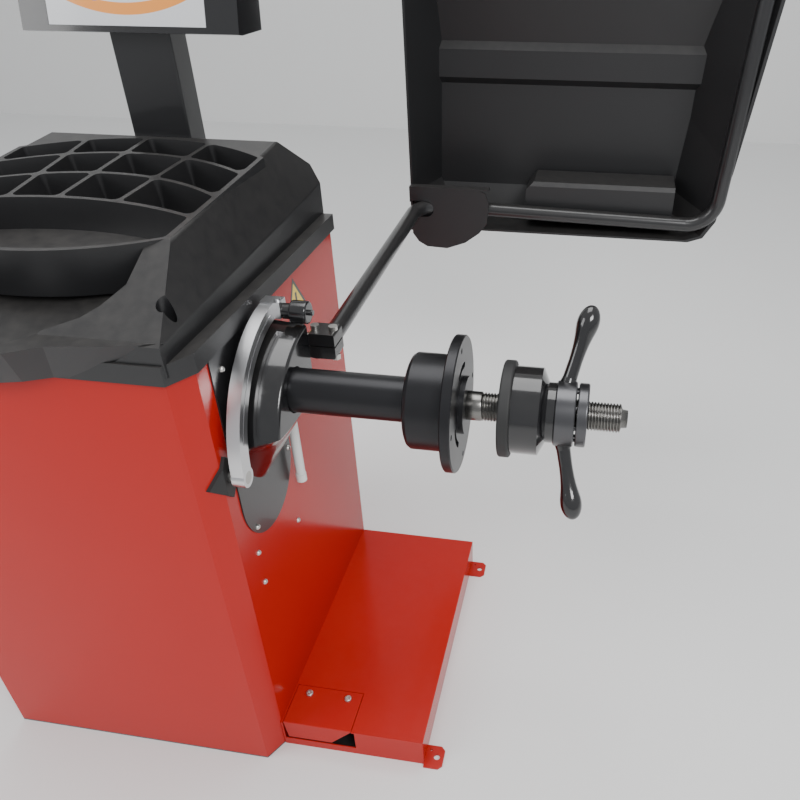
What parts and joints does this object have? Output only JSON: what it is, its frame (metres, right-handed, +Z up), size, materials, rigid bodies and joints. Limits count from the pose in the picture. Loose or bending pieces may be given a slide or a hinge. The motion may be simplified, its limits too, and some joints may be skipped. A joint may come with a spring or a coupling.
{
  "type": "wheel balancer",
  "caption": "Red wheel balancer with spindle and quick nut, black weight tray, gauge arm, swinging hood and foot brake.",
  "frame": {"origin": "on the floor, below the spindle axis, in the plane of the cabinet's right side", "axes": "+X along the spindle away from the cabinet, +Y to the back, +Z up"},
  "size_m": [1.246, 1.045, 1.332],
  "materials": {
    "red_paint": "gloss",
    "black_paint": "satin",
    "black_gloss": "gloss",
    "tray_black": "satin",
    "hood_black": "satin",
    "steel": "satin",
    "zinc": "satin",
    "cast": "satin",
    "alu": "satin",
    "rubber": "matte",
    "white": "satin",
    "label": "satin",
    "board": "satin",
    "grey_plastic": "gloss",
    "overlay": "satin"
  },
  "bodies": {
    "frame": {"front_panel": "red_paint", "left_panel": "red_paint", "back_panel": "red_paint", "base_plate": "black_paint", "platform": "red_paint", "anchor_lugs": "red_paint", "pedal_bracket": "black_paint", "weight_tray": "tray_black", "tray_caps": "tray_black", "arc_tray": "tray_black", "bin_column_1": "tray_black", "bin_column_2": "tray_black", "bin_column_3": "tray_black", "bin_column_4": "tray_black", "shroud_plate": "black_paint", "spindle_shroud": "black_gloss", "panel_screws": "zinc", "spindle_tube": "cast", "bearings": "steel", "spindle_stand": "black_paint", "motor": "cast", "drive_belt": "rubber", "power_board": "board", "mains_inlet": "black_gloss", "rocker_frame": "black_gloss", "gauge_gland": "rubber", "gauge_rail": "steel", "spring_tube": "white", "display_post": "black_paint", "display_housing": "black_gloss", "display_overlay": "overlay", "warning_label": "label"},
    "pedal": {"pedal_plate": "red_paint", "pedal_screws": "zinc"},
    "spindle": {"spindle_shaft": "steel", "bell_cover": "cast", "flange_plate": "cast", "threaded_shaft": "steel", "spindle_pulley": "alu"},
    "motor_rotor": {"motor_pulley": "alu"},
    "cup": {"pressure_cup": "black_gloss", "pressure_ring": "rubber"},
    "nut": {"nut_body": "steel", "nut_handles": "black_gloss", "release_ring": "steel"},
    "carriage": {"gauge_carriage": "alu"},
    "gauge": {"gauge_rod": "steel", "gauge_arm": "alu"},
    "knob": {"gauge_knob": "black_gloss"},
    "guard": {"guard_shaft": "steel", "guard_clamp": "black_paint", "clamp_bolts": "zinc", "guard_tube": "black_paint", "guard_hood": "hood_black", "hood_block": "black_gloss"},
    "rocker": {"power_rocker": "black_gloss"},
    "key_a": {"key_1": "grey_plastic"},
    "key_b": {"key_2": "grey_plastic"},
    "key_c": {"key_3": "grey_plastic"},
    "key_d": {"key_4": "grey_plastic"}
  },
  "joints": [
    {"name": "spindle_spin", "type": "hinge", "parent": "frame", "child": "spindle", "pos_m": [0, 0, 0.661], "axis": [1, 0, 0], "continuous": true},
    {"name": "motor_spin", "type": "hinge", "parent": "frame", "child": "motor_rotor", "pos_m": [0, 0.15, 0.452], "axis": [1, 0, 0], "continuous": true},
    {"name": "cup_slide", "type": "slide", "parent": "spindle", "child": "cup", "axis": [1, 0, 0], "range_m": [-0.04, 0.04]},
    {"name": "nut_spin", "type": "hinge", "parent": "cup", "child": "nut", "pos_m": [0, 0, 0.661], "axis": [1, 0, 0], "continuous": true},
    {"name": "guard_swing", "type": "hinge", "parent": "frame", "child": "guard", "pos_m": [0, 0.105, 0.683], "axis": [1, 0, 0], "range_deg": [0, 75]},
    {"name": "pedal_press", "type": "hinge", "parent": "frame", "child": "pedal", "pos_m": [0, -0.046, 0.05], "axis": [1, 0, 0], "range_deg": [0, 11], "stiffness_Nm_per_rad": 25, "springref_deg": -5.73},
    {"name": "gauge_slide", "type": "slide", "parent": "frame", "child": "carriage", "axis": [1, 0, 0], "range_m": [0, 0.16]},
    {"name": "gauge_turn", "type": "hinge", "parent": "carriage", "child": "gauge", "pos_m": [0, -0.103, 0.582], "axis": [1, 0, 0], "range_deg": [0, 70]},
    {"name": "knob_slide", "type": "slide", "parent": "gauge", "child": "knob", "axis": [1, 0, 0], "range_m": [0, 0.01], "stiffness_N_per_m": 300},
    {"name": "rocker_press", "type": "slide", "parent": "frame", "child": "rocker", "axis": [0, -1, 0], "range_m": [0, 0.003], "stiffness_N_per_m": 300},
    {"name": "key_1_press", "type": "slide", "parent": "frame", "child": "key_a", "axis": [0, 0.9744, -0.225], "range_m": [0, 0.0015], "stiffness_N_per_m": 300},
    {"name": "key_2_press", "type": "slide", "parent": "frame", "child": "key_b", "axis": [0, 0.9744, -0.225], "range_m": [0, 0.0015], "stiffness_N_per_m": 300},
    {"name": "key_3_press", "type": "slide", "parent": "frame", "child": "key_c", "axis": [0, 0.9744, -0.225], "range_m": [0, 0.0015], "stiffness_N_per_m": 300},
    {"name": "key_4_press", "type": "slide", "parent": "frame", "child": "key_d", "axis": [0, 0.9744, -0.225], "range_m": [0, 0.0015], "stiffness_N_per_m": 300}
  ],
  "couplings": [
    {"joint": "motor_spin", "follows": "spindle_spin", "ratio": 2.5}
  ]
}
